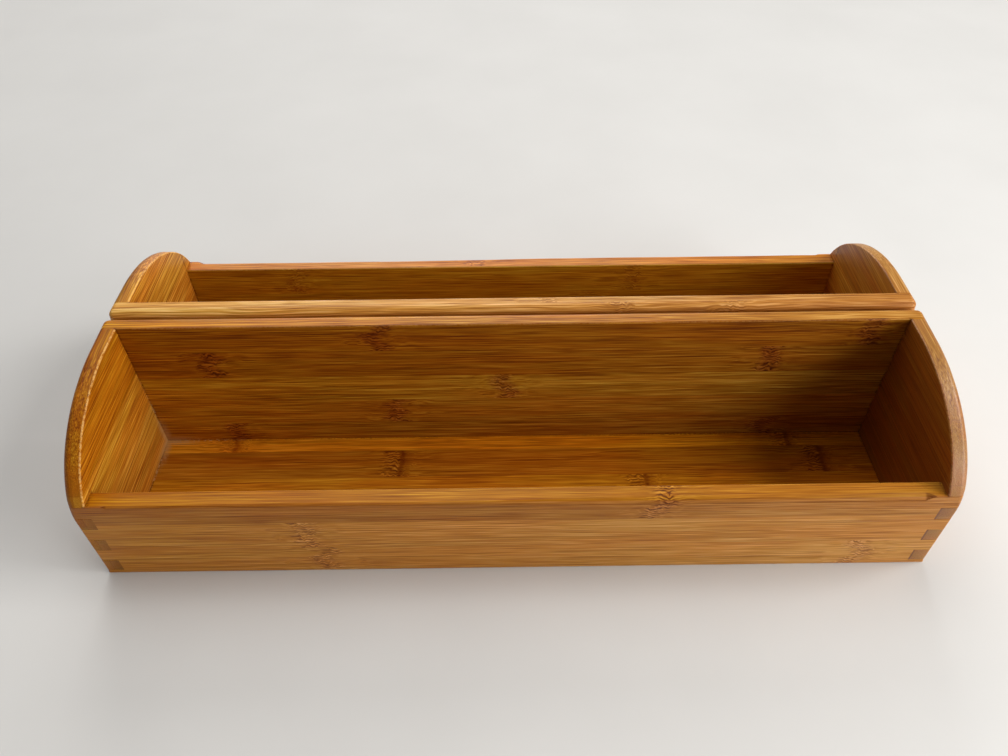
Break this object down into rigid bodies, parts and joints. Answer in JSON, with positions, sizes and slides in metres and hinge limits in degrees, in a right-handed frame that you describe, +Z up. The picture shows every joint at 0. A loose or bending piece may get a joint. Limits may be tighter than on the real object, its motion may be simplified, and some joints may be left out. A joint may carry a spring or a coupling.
{
  "type": "divided wooden tray",
  "caption": "Long bamboo tray parted by its double middle wall, with finger-jointed corners, low outer walls and end boards that curve up to the middle.",
  "frame": {"origin": "on the table, below the middle of the gap between the two high walls, halfway along the tray", "axes": "+X along the tray, +Y from the front bin to the rear bin, +Z up"},
  "size_m": [0.42, 0.187, 0.094],
  "materials": {
    "wall_bamboo": "satin lacquered caramelised bamboo, grain along the board",
    "end_bamboo": "satin lacquered caramelised bamboo, grain from front to back",
    "floor_bamboo": "satin caramelised bamboo, grain along the panel"
  },
  "bodies": {
    "front_bin": {"front_bin_low_wall": "wall_bamboo", "front_bin_high_wall": "wall_bamboo", "front_bin_left_end": "end_bamboo", "front_bin_right_end": "end_bamboo", "front_bin_floor": "floor_bamboo"},
    "rear_bin": {"rear_bin_low_wall": "wall_bamboo", "rear_bin_high_wall": "wall_bamboo", "rear_bin_left_end": "end_bamboo", "rear_bin_right_end": "end_bamboo", "rear_bin_floor": "floor_bamboo"}
  },
  "joints": [
    {"name": "rear_bin_slide", "type": "slide", "parent": "front_bin", "child": "rear_bin", "axis": [0, 1, 0], "range_m": [0, 0.1]}
  ]
}
